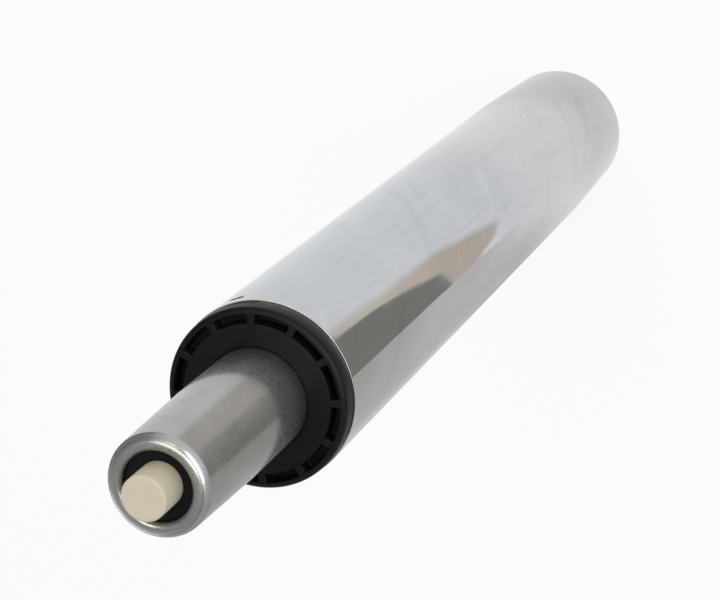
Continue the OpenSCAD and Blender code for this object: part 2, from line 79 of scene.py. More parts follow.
class Wire:
    """A shader socket on which Python arithmetic adds Math nodes."""

    def __init__(self, graph: "Graph", socket: bpy.types.NodeSocket) -> None:
        """Keeps the graph and the socket that carries the value."""
        self.graph = graph
        self.socket = socket

    def _math(self, operation: str, *values: "Wire | float") -> "Wire":
        """Adds one Math node over the values."""
        return self.graph.node("ShaderNodeMath", {"operation": operation}, dict(enumerate(values)))

    def __add__(self, other: "Wire | float") -> "Wire":
        """Sum."""
        return self._math("ADD", self, other)

    __radd__ = __add__

    def __sub__(self, other: "Wire | float") -> "Wire":
        """Difference."""
        return self._math("SUBTRACT", self, other)

    def __rsub__(self, other: "Wire | float") -> "Wire":
        """Difference, with the number first."""
        return self._math("SUBTRACT", other, self)

    def __mul__(self, other: "Wire | float") -> "Wire":
        """Product."""
        return self._math("MULTIPLY", self, other)

    __rmul__ = __mul__

    def highest(self, other: "Wire | float") -> "Wire":
        """The higher of two values."""
        return self._math("MAXIMUM", self, other)

    def root(self) -> "Wire":
        """Square root."""
        return self._math("SQRT", self)

    def turn_from(self, across: "Wire") -> "Wire":
        """Angle in radians whose tangent is this value over the one across."""
        return self._math("ARCTAN2", self, across)

    def ramp(self, low: float, high: float) -> "Wire":
        """Smooth step from 0 at low to 1 at high, or the other way round when low is higher."""
        settings = {"interpolation_type": "SMOOTHSTEP", "clamp": True}
        inputs = {0: self, 1: low, 2: high, 3: 0.0, 4: 1.0}
        return self.graph.node("ShaderNodeMapRange", settings, inputs)

    def along(self, line: Sequence[tuple[float, float]]) -> "Wire":
        """Reads a value off a bent line.

        Args:
            line: Points as (this value, result), in rising order of this value.

        Returns:
            The result, which stays at the line's end values beyond its ends.
        """
        starts, ends = np.min(line, axis=0), np.max(line, axis=0)
        share = self.graph.node("ShaderNodeMapRange", {"clamp": True}, {0: self, 1: starts[0], 2: ends[0]})
        read = self.graph.node("ShaderNodeFloatCurve", inputs={"Value": share})
        mapping = read.socket.node.mapping
        points = mapping.curves[0].points
        for place, (across, up) in enumerate((np.asarray(line) - starts) / (ends - starts)):
            point = points[place] if place < 2 else points.new(across, up)
            point.location = (across, up)
        for point in points:
            point.handle_type = "VECTOR"
        mapping.update()
        return read * float(ends[1] - starts[1]) + float(starts[1])


class Graph:
    """The node tree of a material or of the world, with one way to add a node."""

    def __init__(self, owner: bpy.types.Material | bpy.types.World) -> None:
        """Gives a material or the world an empty node tree.

        Args:
            owner: Material or world that the tree belongs to.
        """
        owner.use_nodes = True
        self.owner = owner
        self.tree = owner.node_tree
        self.tree.nodes.clear()

    def node(
        self,
        kind: str,
        settings: Mapping[str, Any] | None = None,
        inputs: Mapping[str | int, Any] | None = None,
        output: str | int = 0,
    ) -> Wire:
        """Adds one node, sets it up and feeds it.

        Args:
            kind: Blender's name of the node's type.
            settings: Properties of the node, set first.
            inputs: Value or wire of each socket, by name or place.
            output: Name or place of the output that is handed back.

        Returns:
            The chosen output as a wire, or the node's first input when it has no output.
        """
        made = self.tree.nodes.new(kind)
        for name, value in (settings or {}).items():
            setattr(made, name, value)
        for place, value in (inputs or {}).items():
            if isinstance(value, Wire):
                self.tree.links.new(value.socket, made.inputs[place])
            else:
                made.inputs[place].default_value = value
        return Wire(self, made.outputs[output] if made.outputs else made.inputs[0])

    def place(self) -> Wire:
        """The point's place on the object, in metres."""
        return self.node("ShaderNodeTexCoord", output="Object")

    def axis(self, name: str) -> Wire:
        """One coordinate of that place, X, Y or Z."""
        return self.node("ShaderNodeSeparateXYZ", inputs={0: self.place()}, output=name)

    def noise(
        self, stretch: Sequence[float], detail: float = 2.0, seed: float = 0.0, twist: float = 0.0
    ) -> Wire:
        """Noise between 0 and 1.

        Args:
            stretch: Waves per metre along X, Y and Z.
            detail: Octaves of finer noise.
            seed: Shift that makes this noise unlike another of the same stretch.
            twist: Turn of the noise about the Z axis, in radians per metre of height.

        Returns:
            The noise as a wire.
        """
        place = self.place()
        if twist:
            inputs = {"Vector": place, "Center": (0.0, 0.0, 0.0), "Angle": self.axis("Z") * twist}
            place = self.node("ShaderNodeVectorRotate", {"rotation_type": "Z_AXIS"}, inputs)
        vector = self.node(
            "ShaderNodeVectorMath",
            {"operation": "MULTIPLY_ADD"},
            {0: place, 1: tuple(stretch), 2: (seed, seed * 1.7, -seed)},
        )
        inputs = {"Vector": vector, "Scale": 1.0, "Detail": detail, "Roughness": 0.55}
        return self.node("ShaderNodeTexNoise", inputs=inputs)

    def mix(self, share: Wire | float, first: Any, second: Any) -> Wire:
        """Mixes two colours, share of the second.

        Args:
            share: 0 gives the first colour and 1 the second.
            first: Colour or wire.
            second: Colour or wire.

        Returns:
            The mixed colour.
        """
        first, second = (v if isinstance(v, Wire) else (*v, 1.0) for v in (first, second))
        inputs = {0: share, 6: first, 7: second}
        return self.node("ShaderNodeMix", {"data_type": "RGBA"}, inputs, output=2)

    def banded(self, along: Wire, tone: Colour | Wire, bands: Bands) -> Wire:
        """A tone that changes to another one across each band.

        Args:
            along: Value that the bands are counted in, an angle or a radius.
            tone: Tone before the first band.
            bands: Where each change starts, where it ends, and the tone after it.

        Returns:
            The changed tone.
        """
        for start, end, after in bands:
            tone = self.mix(along.ramp(start, end), tone, after)
        return tone

    def on_rays(self, *kinds: str) -> Wire:
        """1 on light rays of the named kinds, and 0 on all others."""
        rays = [self.node("ShaderNodeLightPath", output=f"Is {kind} Ray") for kind in kinds]
        return reduce(Wire.highest, rays)

    def bump(self, height: Wire, depth: float) -> Wire:
        """Normal of a surface that rises by depth, in metres, where height goes from 0 to 1."""
        return self.node("ShaderNodeBump", inputs={"Strength": 1.0, "Distance": depth, "Height": height})

    def end(self, shader: Wire) -> None:
        """Links the shader to the tree's output."""
        kind = "World" if isinstance(self.owner, bpy.types.World) else "Material"
        self.node(f"ShaderNodeOutput{kind}", inputs={"Surface": shader})


def shade(colour: Colour, factor: float) -> Colour:
    """A colour made darker or lighter by a factor."""
    return tuple(min(1.0, part * factor) for part in colour)


@dataclass(frozen=True)
class Finish:
    """What every finish has: a name, a main colour in linear light, and a roughness."""

    name: str
    colour: Colour
    roughness: float

    def inputs(self, graph: Graph) -> dict[str, Any]:
        """The shader's inputs by socket name, to which each kind of finish adds its own nodes."""
        return {"Base Color": (*self.colour, 1.0), "Roughness": self.roughness}

    def material(self) -> bpy.types.Material:
        """Builds the finish, or finds it if it was built before.

        Returns:
            The material.
        """
        made = bpy.data.materials.get(f"finish_{self.name}")
        if made is None:
            made = bpy.data.materials.new(f"finish_{self.name}")
            graph = Graph(made)
            graph.end(graph.node("ShaderNodeBsdfPrincipled", inputs=self.inputs(graph)))
        return made


@dataclass(frozen=True)
class ChromePlate(Finish):
    """Bright plate with hazy clouds, slanting marks of a cloth and a faint ripple of the tube below."""

    cloud: float = 0.05
    cloud_size: float = 60 * MM
    haze: float = 0.07
    wiped: float = 0.45
    ripple: float = 0.4 * MM

    def inputs(self, graph: Graph) -> dict[str, Any]:
        """Clouds and wiped marks tint the plate, patches dull it, and the ripple bends what it mirrors."""
        waves = 1 / self.cloud_size
        cloud = graph.noise((waves, waves, waves * 0.6), detail=3.0).ramp(0.35, 0.68)
        patch = graph.noise((70.0, 70.0, 22.0), detail=4.0, seed=3.1).ramp(0.55, 0.8)
        rub = graph.noise((900.0, 900.0, 60.0), detail=1.0, seed=7.7).ramp(0.66, 0.78)
        dark = shade(self.colour, 1 - self.cloud)
        light = shade(self.colour, 1 + self.cloud * 0.6)
        tone = graph.mix(cloud, dark, light)
        tone = graph.mix(patch * 0.35, tone, shade(self.colour, 0.88))
        wipe = graph.noise((95.0, 95.0, 17.0), detail=4.0, seed=6.1, twist=31.0)
        tone = graph.mix(wipe.ramp(0.56, 0.70) * self.wiped, tone, shade(self.colour, 0.84))
        tone = graph.mix(wipe.ramp(0.44, 0.30) * self.wiped, tone, shade(self.colour, 1.15))
        ripple = graph.noise((26.0, 26.0, 17.0), detail=1.0, seed=11.3)
        return {
            "Base Color": tone,
            "Metallic": 1.0,
            "Roughness": self.roughness + self.haze * (patch * 0.8 + rub * 0.2),
            "Normal": graph.bump(ripple, self.ripple),
        }


@dataclass(frozen=True)
class Metal(Finish):
    """Worked metal with tool marks in one direction, soft clouds and a stain in places."""

    lay: Lay = Lay.TURNED
    marks: float = 0.10
    mark_depth: float = 0.002 * MM
    cloud: float = 0.08
    cloud_size: float = 14 * MM
    stain: Colour = (0.20, 0.15, 0.11)
    stain_share: float = 0.0
    scuff: float = 0.0
    scuff_roughness: float = 0.42

    def inputs(self, graph: Graph) -> dict[str, Any]:
        """Marks vary tone and gloss together, clouds and stains vary the tone, and fine scuffs scatter."""
        marks = graph.noise(self.lay.value, detail=2.0, seed=1.3)
        waves = 1 / self.cloud_size
        cloud = graph.noise((waves, waves, waves * 0.5), detail=3.0, seed=5.2).ramp(0.3, 0.7)
        tone = graph.mix(cloud, shade(self.colour, 1 - self.cloud), shade(self.colour, 1 + self.cloud))
        tone = graph.mix((1 - marks).ramp(0.45, 0.75) * self.marks, tone, shade(self.colour, 0.5))
        if self.stain_share:
            spots = graph.noise((110.0, 110.0, 45.0), detail=5.0, seed=9.4).ramp(0.56, 0.72)
            tone = graph.mix(spots * self.stain_share, tone, self.stain)
        gloss = self.roughness * (0.85 + 0.3 * marks) + 0.05 * cloud
        if self.scuff:
            grain = graph.noise((9000.0, 9000.0, 9000.0), detail=0.0, seed=4.4)
            rough = grain.ramp(0.64 - 0.28 * self.scuff, 0.66 - 0.28 * self.scuff)
            gloss = gloss + rough * (self.scuff_roughness - gloss)
        return {
            "Base Color": tone,
            "Metallic": 1.0,
            "Roughness": gloss,
            "Normal": graph.bump(marks, self.mark_depth),
        }


@dataclass(frozen=True)
class Moulding(Finish):
    """Moulded plastic: a fine grain, slow mottling, and a pale bloom where it is handled."""

    grain_size: float = 0.35 * MM
    grain_depth: float = 0.006 * MM
    mottle: float = 0.10
    bloom: Colour = (0.10, 0.10, 0.10)
    bloom_share: float = 0.10
    shine: float = 0.5

    def inputs(self, graph: Graph) -> dict[str, Any]:
        """Grain roughens the skin, mottling varies its tone, and the bloom lies in patches."""
        waves = 1 / self.grain_size
        grain = graph.noise((waves, waves, waves), detail=2.0, seed=2.2)
        mottle = graph.noise((85.0, 85.0, 85.0), detail=3.0, seed=6.1)
        bloom = graph.noise((190.0, 190.0, 120.0), detail=4.0, seed=8.8).ramp(0.5, 0.75)
        tone = graph.mix(mottle, shade(self.colour, 1 - self.mottle), shade(self.colour, 1 + self.mottle))
        return {
            "Base Color": graph.mix(bloom * self.bloom_share, tone, self.bloom),
            "Roughness": self.roughness + 0.12 * (grain - 0.5) + 0.08 * bloom,
            "Specular IOR Level": self.shine,
            "Normal": graph.bump(grain, self.grain_depth),
        }


@dataclass(frozen=True)
class Rubber(Moulding):
    """Rubber: a soft skin, duller than plastic, with a grey bloom in its pores."""

    grain_size: float = 0.8 * MM
    grain_depth: float = 0.01 * MM
    bloom: Colour = (0.07, 0.07, 0.072)
    bloom_share: float = 0.25


FINISHES: dict[str, Finish] = {
    finish.name: finish
    for finish in (
        ChromePlate("column_chrome", (0.60, 0.603, 0.608), 0.05, cloud=0.08),
        Metal("tube_steel", (0.43, 0.427, 0.42), 0.13, stain_share=0.12, scuff=0.5, scuff_roughness=0.46),
        Moulding("black_moulding", (0.0050, 0.0050, 0.0054), 0.44, bloom=(0.03, 0.03, 0.03), shine=0.16),
        Moulding("cream_plastic", (0.585, 0.533, 0.41), 0.55, mottle=0.03, bloom=(0.42, 0.36, 0.24),
                 shine=0.2),
        Metal("zinc_steel", (0.56, 0.56, 0.53), 0.36, lay=Lay.BLASTED, cloud=0.14),
        Metal("bearing_steel", (0.64, 0.64, 0.65), 0.14, cloud_size=8 * MM),
        Metal("cage_brass", (0.72, 0.52, 0.22), 0.28, lay=Lay.BLASTED),
        Metal("valve_brass", (0.74, 0.56, 0.26), 0.22),
        Rubber("bumper_rubber", (0.022, 0.022, 0.023), 0.70),
        Rubber("seal_rubber", (0.015, 0.015, 0.016), 0.48),
        Moulding("white_nylon", (0.74, 0.72, 0.66), 0.42, mottle=0.04, bloom=(0.6, 0.57, 0.5)),
        Metal("spring_steel", (0.17, 0.17, 0.175), 0.34, lay=Lay.BLASTED, stain_share=0.2),
        Metal("ground_rod", (0.66, 0.67, 0.69), 0.10, marks=0.05),
        Metal("drawn_steel", (0.52, 0.54, 0.57), 0.24, lay=Lay.DRAWN),
    )
}


@dataclass(frozen=True)
class Shell:
    """A surface as points and faces. A face has four point numbers, and repeats the last in a triangle."""

    points: np.ndarray
    faces: np.ndarray

    def with_others(self, others: Sequence["Shell"]) -> "Shell":
        """One shell of this one and others, whose point numbers are shifted past those before."""
        parts = [self, *others]
        shifts = np.cumsum([0] + [len(part.points) for part in parts[:-1]])
        faces = [part.faces + shift for part, shift in zip(parts, shifts)]
        return Shell(np.concatenate([part.points for part in parts]), np.concatenate(faces))

    def turned_by(self, angle: float) -> "Shell":
        """A copy turned about the Z axis by an angle in radians."""
        c, s = math.cos(angle), math.sin(angle)
        spin = np.array([[c, s, 0.0], [-s, c, 0.0], [0.0, 0.0, 1.0]])
        return Shell(self.points @ spin, self.faces)


def arc(centre: tuple[float, float], radius: float, start: float, end: float, steps: int) -> np.ndarray:
    """Points of an arc: the centre plus the radius times cosine and sine of evenly spaced angles.

    Args:
        centre: Centre in the section's plane.
        radius: Radius of the arc.
        start: First angle in degrees.
        end: Last angle in degrees.
        steps: Number of steps between the two.

    Returns:
        Array of steps + 1 points.
    """
    turn = np.radians(np.linspace(start, end, steps + 1))
    return np.asarray(centre) + radius * np.stack([np.cos(turn), np.sin(turn)], axis=-1)


def outline(*stretches: Any) -> np.ndarray:
    """A section's points in order, from single points and arrays of points."""
    return np.concatenate([np.atleast_2d(np.asarray(stretch, float)) for stretch in stretches])


def even_turns(count: int = 144) -> np.ndarray:
    """Angles evenly spaced round a full turn, in radians."""
    return np.linspace(0.0, FULL_TURN, count, endpoint=False)


def swept(sections: np.ndarray, turns: np.ndarray, is_closed: bool = True) -> Shell:
    """Carries a section round the Z axis.

    A section's point at radius r and height z goes to (r cos a, r sin a, z) at the angle a. A point
    at radius 0 is a pole: its copies are one point, and the faces next to it are triangles. A section
    that ends at a pole isn't closed. One that runs anticlockwise, with the radius to the right and Z
    up, gives faces that point outwards.

    Args:
        sections: Points as (radius, height), one section for all angles or one for each.
        turns: Angles in radians, in rising order.
        is_closed: Whether the section's last point joins its first.

    Returns:
        The surface.
    """
    sections = np.broadcast_to(sections, (len(turns), *sections.shape[-2:]))
    count, size = sections.shape[:2]
    radius, height = sections[..., 0], sections[..., 1]
    across = radius * np.cos(turns)[:, None]
    along = radius * np.sin(turns)[:, None]
    points = np.stack([across, along, height], axis=-1).reshape(-1, 3)
    number = np.arange(count * size).reshape(count, size)
    poles = np.all(radius < 1e-9, axis=0)
    number[:, poles] = number[0, poles]
    kept, number = np.unique(number, return_inverse=True)
    number = number.reshape(count, size)
    ahead = np.roll(number, -1, axis=0)
    corners = (number, ahead, np.roll(ahead, -1, axis=1), np.roll(number, -1, axis=1))
    faces = np.stack(corners, axis=-1)[:, : size if is_closed else size - 1].reshape(-1, 4)
    low_pole = faces[:, 0] == faces[:, 1]
    faces[low_pole] = faces[low_pole][:, [1, 2, 3, 3]]
    return Shell(points[kept], faces)


def prism(section: np.ndarray, low: float, high: float) -> Shell:
    """A flat outline carried straight up, closed at both ends by fans about its middle.

    Args:
        section: Anticlockwise outline as (x, y).
        low: Height of the lower end.
        high: Height of the upper end.

    Returns:
        The closed surface.
    """
    size = len(section)
    middle = section.mean(axis=0)
    rings = [np.column_stack([section, np.full(size, level)]) for level in (low, high)]
    number = np.arange(size)
    ahead = np.roll(number, -1)
    foot, top = np.full(size, 2 * size), np.full(size, 2 * size + 1)
    faces = np.stack([
        (number, ahead, ahead + size, number + size),
        (ahead, number, foot, foot),
        (number + size, ahead + size, top, top),
    ])
    points = np.concatenate([*rings, [[*middle, low], [*middle, high]]])
    return Shell(points, faces.transpose(0, 2, 1).reshape(-1, 4))


def put_in_scene(name: str, shell: Shell, material: bpy.types.Material) -> bpy.types.Object:
    """Makes a mesh object of a shell, smooth except where faces meet at more than CREASE degrees.

    Args:
        name: Name of the object.
        shell: Surface in metres, where it belongs.
        material: Its material.

    Returns:
        The object, at the origin.
    """
    mesh = bpy.data.meshes.new(name)
    is_corner = np.ones(shell.faces.shape, bool)
    is_corner[:, 3] = shell.faces[:, 2] != shell.faces[:, 3]
    sizes = is_corner.sum(axis=1)
    corners = shell.faces[is_corner]
    mesh.vertices.add(len(shell.points))
    mesh.vertices.foreach_set("co", shell.points.astype(np.float32).ravel())
    mesh.loops.add(len(corners))
    mesh.loops.foreach_set("vertex_index", corners.astype(np.int32))
    mesh.polygons.add(len(sizes))
    mesh.polygons.foreach_set("loop_start", (np.cumsum(sizes) - sizes).astype(np.int32))
    mesh.update(calc_edges=True)
    mesh.validate()
    mesh.shade_smooth()
    mesh.set_sharp_from_angle(angle=math.radians(CREASE))
    mesh.materials.append(material)
    made = bpy.data.objects.new(name, mesh)
    bpy.context.scene.collection.objects.link(made)
    return made


def direction(azimuth: float, elevation: float) -> Vector:
    """Unit vector at an azimuth from +X towards +Y and an elevation, both in degrees."""
    turn, rise = math.radians(azimuth), math.radians(elevation)
    return Vector((math.cos(turn) * math.cos(rise), math.sin(turn) * math.cos(rise), math.sin(rise)))


def reach(node: str) -> tuple[float, float, float]:
    """Radius, lowest and highest level of a round solid, from its packed box."""
    low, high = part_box(node)
    return max(high[0], -low[0]), low[2], high[2]


class SubAssembly:
    """A group of pieces that are built and dressed together."""

    body = ""
    packed: tuple[str, ...] = ()

    def build(self) -> None:
        """Makes the group's fine surfaces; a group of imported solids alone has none."""

    def dress(self) -> None:
        """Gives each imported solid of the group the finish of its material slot."""
        slots = {part["node"]: part["material_slot"] for part in frame["record"]["subparts"]}
        for node in self.packed:
            piece = frame["nodes"][node]
            for slot in piece.material_slots:
                slot.material = FINISHES[slots[node]].material()
            LOG.info("%s keeps its packed mesh, in %s", node, slots[node])

    def stand_for(self, node: str, name: str, shell: Shell, slot: str) -> bpy.types.Object:
        """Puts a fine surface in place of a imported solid.

        Args:
            node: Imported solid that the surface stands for.
            name: Name of the new piece.
            shell: Its surface.
            slot: Material slot and finish.

        Returns:
            The new piece, riding on the group's body.
        """
        piece = put_in_scene(name, shell, FINISHES[slot].material())
        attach(piece, self.body)
        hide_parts(node)
        LOG.info("%s stands for %s: %d points", name, node, len(shell.points))
        return piece


@dataclass
class Column(SubAssembly):
    """Chromed column with its tapered foot and the slots that lock the sleeve."""

    wall: float = 2.0 * MM
    taper_length: float = 50.0 * MM
    taper_slope: float = 0.025
    foot_edge: float = 0.8 * MM
    foot_lip: float = 1.5 * MM
    bevel: float = 0.07 * MM
    slot_width: float = 4.0 * MM
    slot_height: float = 1.8 * MM
    slot_drop: float = 4.6 * MM
    slot_turn: float = 48.0
    slots: int = 2
    slot_steps: int = 8
    open_steps: int = 120
    body = "column"
    packed = ("base_plate", "lower_bearing_race")

    def __post_init__(self) -> None:
        """Reads the radius and the mouth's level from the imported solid, and places the slots."""
        self.radius, _, self.mouth = reach("outer_column")
        self.slot_low = self.mouth - self.slot_drop - self.slot_height / 2
        self.slot_reach = math.asin(self.slot_width / 2 / self.radius)

    def section(self) -> tuple[np.ndarray, int, int]:
        """Section of the wall, anticlockwise from the foot's inner lip.

        Returns:
            The points, and the places of the points at the slots' foot on the outer face and at
            their top on the inner face.
        """
        foot = self.radius - self.taper_length * self.taper_slope
        inner = self.radius - self.wall
        lip = foot - self.wall - self.foot_lip
        low, high = self.slot_low, self.slot_low + self.slot_height
        soft = 0.15 * MM
        outer_face = outline(
            (lip, soft),
            (lip + soft, 0.0),
            arc((foot - self.foot_edge, self.foot_edge), self.foot_edge, -90, 0, 8),
            (foot + self.foot_edge * self.taper_slope * 1.2, self.foot_edge * 1.2),
            (foot + 0.5 * (self.radius - foot), 0.5 * self.taper_length),
            np.linspace((self.radius, self.taper_length), (self.radius, low), 14),
        )
        top = outline(
            (self.radius, high),
            (self.radius, self.mouth - self.bevel * 1.5),
            arc((self.radius - self.bevel, self.mouth - self.bevel), self.bevel, 0, 90, 5),
            arc((inner + soft, self.mouth - soft), soft, 90, 180, 3),
        )
        inner_face = outline(
            (inner, high),
            (inner, low),
            (inner, self.taper_length),
            (foot + self.taper_slope * self.wall - self.wall, self.wall),
            (lip, self.wall),
        )
        places = len(outer_face) - 1, len(outer_face) + len(top)
        return outline(outer_face, top, inner_face), *places

    def turns(self) -> tuple[np.ndarray, np.ndarray]:
        """Angles of the columns of points, with an even run across each slot.

        Returns:
            The angles in radians, and the places of each slot's first angle.
        """
        pitch = FULL_TURN / self.slots
        one_pitch = np.concatenate([
            np.linspace(-self.slot_reach, self.slot_reach, self.slot_steps, endpoint=False),
            np.linspace(self.slot_reach, pitch - self.slot_reach, self.open_steps, endpoint=False),
        ])
        starts = math.radians(self.slot_turn) + even_turns(self.slots)
        return (starts[:, None] + one_pitch).ravel(), np.arange(self.slots) * len(one_pitch)

    def build(self) -> None:
        """The column's wall, turned from its section, with the slots opened through it and lined."""
        section, outer, inner = self.section()
        size = len(section)
        turns, firsts = self.turns()
        wall = swept(section, turns)
        across = (firsts[:, None] + np.arange(self.slot_steps)).ravel() * size
        kept = np.delete(wall.faces, np.concatenate([across + outer, across + inner]), axis=0)
        ahead = across + size
        start, end = firsts * size, (firsts + self.slot_steps) * size
        # Each slot's floor, its roof and its two ends
        lining = [
            (across + outer, ahead + outer, ahead + inner + 1, across + inner + 1),
            (ahead + outer + 1, across + outer + 1, across + inner, ahead + inner),
            (start + outer + 1, start + outer, start + inner + 1, start + inner),
            (end + outer, end + outer + 1, end + inner, end + inner + 1),
        ]
        faces = np.concatenate([kept, *(np.stack(corners, axis=-1) for corners in lining)])
        self.stand_for("outer_column", "column_wall", Shell(wall.points, faces), "column_chrome")


@dataclass
class GuideSleeve(SubAssembly):
    """Black moulding that guides the tube: pocketed flange, ribbed hub, skirt, rings and tongues."""

    column: Column
    bore_gap: float = 0.08 * MM
    tube_radius: float = 14.0 * MM
    hub_wall: float = 2.4 * MM
    edge: float = 1.5 * MM
    mouth_bevel: float = 0.5 * MM
    ribs: int = 12
    rib_width: float = 2.0 * MM
    pocket_width: float = 2.5 * MM
    pocket_depth: float = 4.5 * MM
    pocket_rim: float = 0.1 * MM
    ring_height: float = 4.0 * MM
    skirt: float = 12.0 * MM
    seat_gap: float = 0.03 * MM
    lip: float = 0.25 * MM
    draft: float = 0.06 * MM
    body = "column"

    def __post_init__(self) -> None:
        """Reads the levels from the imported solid, and works out the radii."""
        _, self.foot, self.face = reach("guide_sleeve")
        self.flange_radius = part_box("guide_sleeve")[1][1]
        self.bore = self.tube_radius + self.bore_gap
        self.hub = self.bore + self.hub_wall
        self.column_bore = self.column.radius - self.column.wall
        self.seat = self.column_bore - self.seat_gap
        self.pocket_outer = self.column_bore - self.pocket_rim
        self.pocket_inner = self.pocket_outer - self.pocket_width

    def pocket_section(self) -> np.ndarray:
        """Section of a pocket from its outer lip, down, across its floor and up to its inner lip."""
        floor = self.face - self.pocket_depth
        lip, draft = self.lip, self.draft
        outer, inner = self.pocket_outer, self.pocket_inner
        return outline(
            arc((outer + lip, self.face - lip), lip, 90, 180, 4),
            arc((outer - draft - lip, floor + lip), lip, 0, -90, 3),
            np.linspace((outer - draft - 2 * lip, floor), (inner + draft + 2 * lip, floor), 4),
            arc((inner + draft + lip, floor + lip), lip, -90, -180, 3),
            arc((inner - lip, self.face - lip), lip, 0, 90, 4),
        )

    def pocket_runs(self) -> tuple[np.ndarray, np.ndarray]:
        """How deep the pockets are at each angle round one pitch.

        The depth rises from 0 on a rib along a quarter of a circle, down a wall with a little draft,
        and along a second quarter to the pocket's floor.

        Returns:
            Angles in radians from a rib's middle, and the share of the pocket's depth at each.
        """
        middle_radius = (self.pocket_outer + self.pocket_inner) / 2
        half_rib = math.asin(self.rib_width / 2 / middle_radius)
        pitch = FULL_TURN / self.ribs
        quarter = np.radians(np.linspace(0, 90, 4))
        top = np.stack([self.lip * (np.sin(quarter) - 1), self.lip * (1 - np.cos(quarter))])
        foot = np.stack([
            self.lip * (1 - np.cos(quarter)) + self.draft,
            self.pocket_depth - self.lip * (1 - np.sin(quarter)),
        ])
        wall = np.concatenate([top, foot], axis=1)
        walk = half_rib + wall[0] / middle_radius
        share = wall[1] / self.pocket_depth
        rib = np.linspace(0, walk[0], 4)[:-1]
        rise = np.concatenate([rib, walk])
        depth = np.concatenate([np.zeros(len(rib)), share])
        pocket = np.linspace(walk[-1], pitch - walk[-1], 16)[1:-1]
        turns = np.concatenate([rise, pocket, pitch - rise[:0:-1]])
        return turns, np.concatenate([depth, np.ones(len(pocket)), depth[:0:-1]])

    def flange_and_hub(self) -> Shell:
        """The turned form with the pockets sunk in its face.

        Each angle's section is the plain one where its share is 0 and the pocketed one where it is 1,
        and between the two where it is between.

        Returns:
            The closed surface.
        """
        pocket = self.pocket_section()
        flat = np.linspace(pocket[0], pocket[-1], len(pocket))
        mouth = self.column.mouth
        soft = 0.2 * MM
        before = outline(
            (self.bore, self.foot + soft),
            (self.bore + soft, self.foot),
            (self.hub - soft, self.foot),
            (self.hub, self.foot + soft),
            (self.hub, mouth),
            arc((self.flange_radius - soft, mouth + soft), soft, -90, 0, 3),
            arc((self.flange_radius - self.edge, self.face - self.edge), self.edge, 0, 86, 9),
        )
        bevel = self.mouth_bevel
        after = outline(
            np.linspace(pocket[-1], (self.bore + bevel, self.face), 5)[1:-1],
            arc((self.bore + bevel, self.face - bevel), bevel, 90, 180, 4),
        )
        plain = outline(before, flat, after)
        sunk = outline(before, pocket, after)
        one_turns, one_shares = self.pocket_runs()
        starts = even_turns(self.ribs)[:, None]
        turns = (starts + one_turns).ravel()
        shares = np.tile(one_shares, self.ribs)[:, None, None]
        return swept(plain * (1 - shares) + sunk * shares, turns)

    def ring(self, inner: float, outer: float, low: float, high: float) -> Shell:
        """A turned ring with its outer edges softened."""
        soft = 0.3 * MM
        section = outline(
            (inner, low),
            arc((outer - soft, low + soft), soft, -90, 0, 3),
            arc((outer - soft, high - soft), soft, 0, 90, 3),
            (inner, high),
        )
        return swept(section, even_turns())

    def rib(self) -> Shell:
        """One rib from the hub almost to the column's bore, with a rounded outer edge."""
        half = self.rib_width / 2
        root, tip = self.hub - 0.5 * MM, self.seat - 0.4 * MM
        soft = 0.4 * MM
        section = outline(
            (root, -half),
            arc((tip - soft, soft - half), soft, -90, 0, 4),
            arc((tip - soft, half - soft), soft, 0, 90, 4),
            (root, half),
        )
        return prism(section, self.foot + 0.1 * MM, self.column.mouth + 0.1 * MM)

    def tongue(self) -> Shell:
        """One snap tongue, which fills a slot of the column but for a small gap."""
        gap = 0.1 * MM
        half = self.column.slot_reach - gap / self.column.radius
        inner, outer = self.column_bore - 1 * MM, self.column.radius - self.column.wall / 2
        middle = math.radians(self.column.slot_turn)
        low = self.column.slot_low + gap
        sides = np.degrees([middle - half, middle + half])
        section = outline(
            arc((0.0, 0.0), outer, sides[0], sides[1], 8),
            arc((0.0, 0.0), inner, sides[1], sides[0], 8),
        )
        return prism(section, low, low + self.column.slot_height - 2 * gap)

    def build(self) -> None:
        """The sleeve as one piece, from its flange to the ring at its foot."""
        length = self.column.mouth - self.foot
        middle = self.foot + (length - self.ring_height) / 2
        root = self.hub - 0.2 * MM
        rings = [self.ring(root, self.seat, low, low + self.ring_height) for low in (self.foot, middle)]
        skirt_low = self.column.mouth - self.skirt
        skirt = self.ring(self.seat - self.hub_wall, self.seat, skirt_low, self.column.mouth + 0.1 * MM)
        ribs = [self.rib().turned_by(turn) for turn in even_turns(self.ribs)]
        tongues = [self.tongue().turned_by(turn) for turn in even_turns(self.column.slots)]
        shell = self.flange_and_hub().with_others([*rings, skirt, *ribs, *tongues])
        self.stand_for("guide_sleeve", "sleeve_moulding", shell, "black_moulding")


